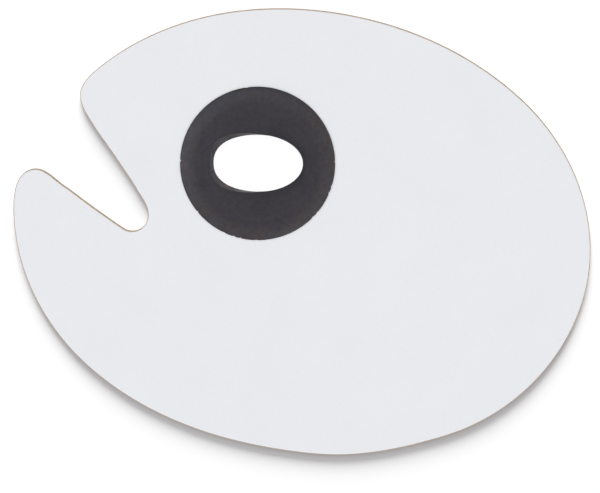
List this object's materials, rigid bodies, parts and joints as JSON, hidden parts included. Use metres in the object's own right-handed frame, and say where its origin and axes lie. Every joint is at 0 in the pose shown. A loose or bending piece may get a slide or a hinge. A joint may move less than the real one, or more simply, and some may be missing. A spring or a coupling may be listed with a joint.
{
  "type": "mixing palette",
  "caption": "Oval hand-held paint mixing palette: white laminate over a plywood core, a finger notch in the rim and a rubber thumb ring round an oval thumb hole.",
  "frame": {"origin": "middle of the outline's box, on the underside that the palette lies on", "axes": "+Z out of the working face; +X along the board's longest extent and the thumb hole's long axis, away from the notch; +Y towards the edge nearest the thumb ring"},
  "size_m": [0.4004, 0.3122, 0.0094],
  "materials": {
    "white_laminate": "white satin-gloss high-pressure laminate, smooth, faintly cool",
    "birch_long_grain": "pale tan birch veneer, grain along the board's length, sanded edge",
    "birch_cross_grain": "slightly darker birch veneer, grain across the board, end grain at the rim",
    "charcoal_rubber": "matte charcoal moulded rubber, softly rounded rim"
  },
  "bodies": {
    "root": {"top_laminate": "white_laminate", "face_ply": "birch_long_grain", "cross_ply": "birch_cross_grain", "back_ply": "birch_long_grain", "bottom_laminate": "white_laminate", "thumb_ring": "charcoal_rubber"}
  },
  "joints": []
}
